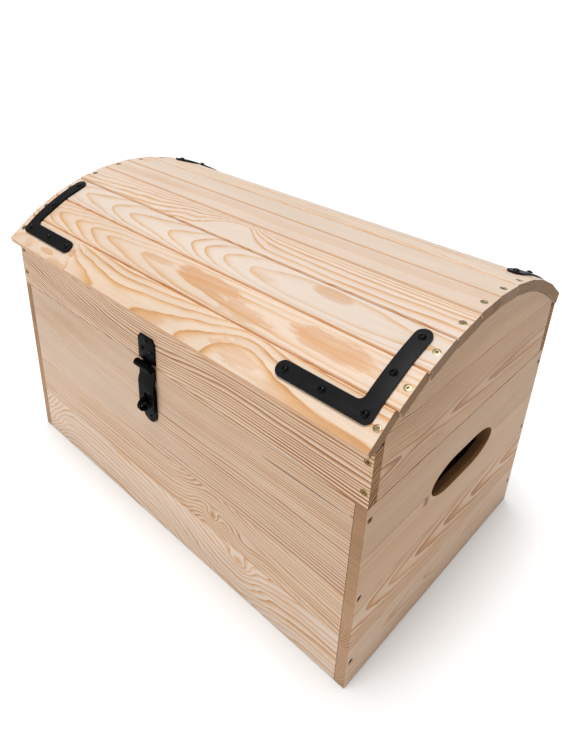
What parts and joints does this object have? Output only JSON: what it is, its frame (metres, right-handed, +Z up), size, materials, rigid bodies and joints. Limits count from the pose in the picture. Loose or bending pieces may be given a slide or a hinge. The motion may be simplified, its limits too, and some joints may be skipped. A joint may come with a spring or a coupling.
{
  "type": "trunk",
  "caption": "Pine trunk with a hinged barrel-shaped lid of tongue-and-groove slats, hand holes in both ends, black corner brackets, a black hasp and a turning staple for a padlock.",
  "frame": {"origin": "middle of the underside, where the trunk meets the floor", "axes": "+X along the trunk's length towards its right end seen from the front, +Y from the front to the back, +Z up"},
  "size_m": [0.6088, 0.3985, 0.3971],
  "materials": {
    "pine": "planed softwood, untreated, with brown growth lines",
    "pine_lid": "planed softwood, untreated, pale with orange cathedral grain",
    "black_metal": "matte black coated steel"
  },
  "bodies": {
    "base": {"base_front_panel": "pine", "base_back_panel": "pine", "side_panel_left": "pine", "side_panel_right": "pine", "bottom_panel": "pine", "staple_plate": "black_metal", "staple_plate_screw_1": "black_metal", "staple_plate_screw_2": "black_metal", "hinge_leaf_base_left": "black_metal", "hinge_leaf_base_right": "black_metal", "hinge_pin_left": "black_metal", "hinge_pin_right": "black_metal"},
    "lid": {"lid_front_rail": "pine", "lid_back_rail": "pine", "lid_gable_left": "pine", "lid_gable_right": "pine", "lid_slat_01": "pine_lid", "lid_slat_02": "pine_lid", "lid_slat_03": "pine_lid", "lid_slat_04": "pine_lid", "lid_slat_05": "pine_lid", "lid_slat_06": "pine_lid", "lid_slat_07": "pine_lid", "lid_slat_08": "pine_lid", "lid_slat_09": "pine_lid", "lid_slat_10": "pine_lid", "corner_bracket_front_left": "black_metal", "corner_bracket_front_right": "black_metal", "corner_bracket_back_left": "black_metal", "corner_bracket_back_right": "black_metal", "hinge_leaf_lid_left": "black_metal", "hinge_leaf_lid_right": "black_metal", "hasp_plate": "black_metal", "hasp_pin": "black_metal", "hasp_plate_screw_1": "black_metal", "hasp_plate_screw_2": "black_metal", "hasp_plate_screw_3": "black_metal", "bracket_screw_front_left_1": "black_metal", "bracket_screw_front_left_2": "black_metal", "bracket_screw_front_left_3": "black_metal", "bracket_screw_front_left_4": "black_metal", "bracket_screw_front_left_5": "black_metal", "bracket_screw_front_right_1": "black_metal", "bracket_screw_front_right_2": "black_metal", "bracket_screw_front_right_3": "black_metal", "bracket_screw_front_right_4": "black_metal", "bracket_screw_front_right_5": "black_metal", "bracket_screw_back_left_1": "black_metal", "bracket_screw_back_left_2": "black_metal", "bracket_screw_back_left_3": "black_metal", "bracket_screw_back_left_4": "black_metal", "bracket_screw_back_left_5": "black_metal", "bracket_screw_back_right_1": "black_metal", "bracket_screw_back_right_2": "black_metal", "bracket_screw_back_right_3": "black_metal", "bracket_screw_back_right_4": "black_metal", "bracket_screw_back_right_5": "black_metal"},
    "hasp_strap": {"hasp_strap": "black_metal"},
    "turn_staple": {"turn_staple": "black_metal"}
  },
  "joints": [
    {"name": "lid_hinge", "type": "hinge", "parent": "base", "child": "lid", "pos_m": [0, 0.1903, 0.2531], "axis": [-1, 0, 0], "range_deg": [0, 180]},
    {"name": "hasp_hinge", "type": "hinge", "parent": "lid", "child": "hasp_strap", "pos_m": [-0.0115, -0.1933, 0.2528], "axis": [-1, 0, 0], "range_deg": [0, 165]},
    {"name": "staple_turn", "type": "hinge", "parent": "base", "child": "turn_staple", "pos_m": [-0.0115, -0.1868, 0.2003], "axis": [0, -1, 0], "continuous": true}
  ]
}
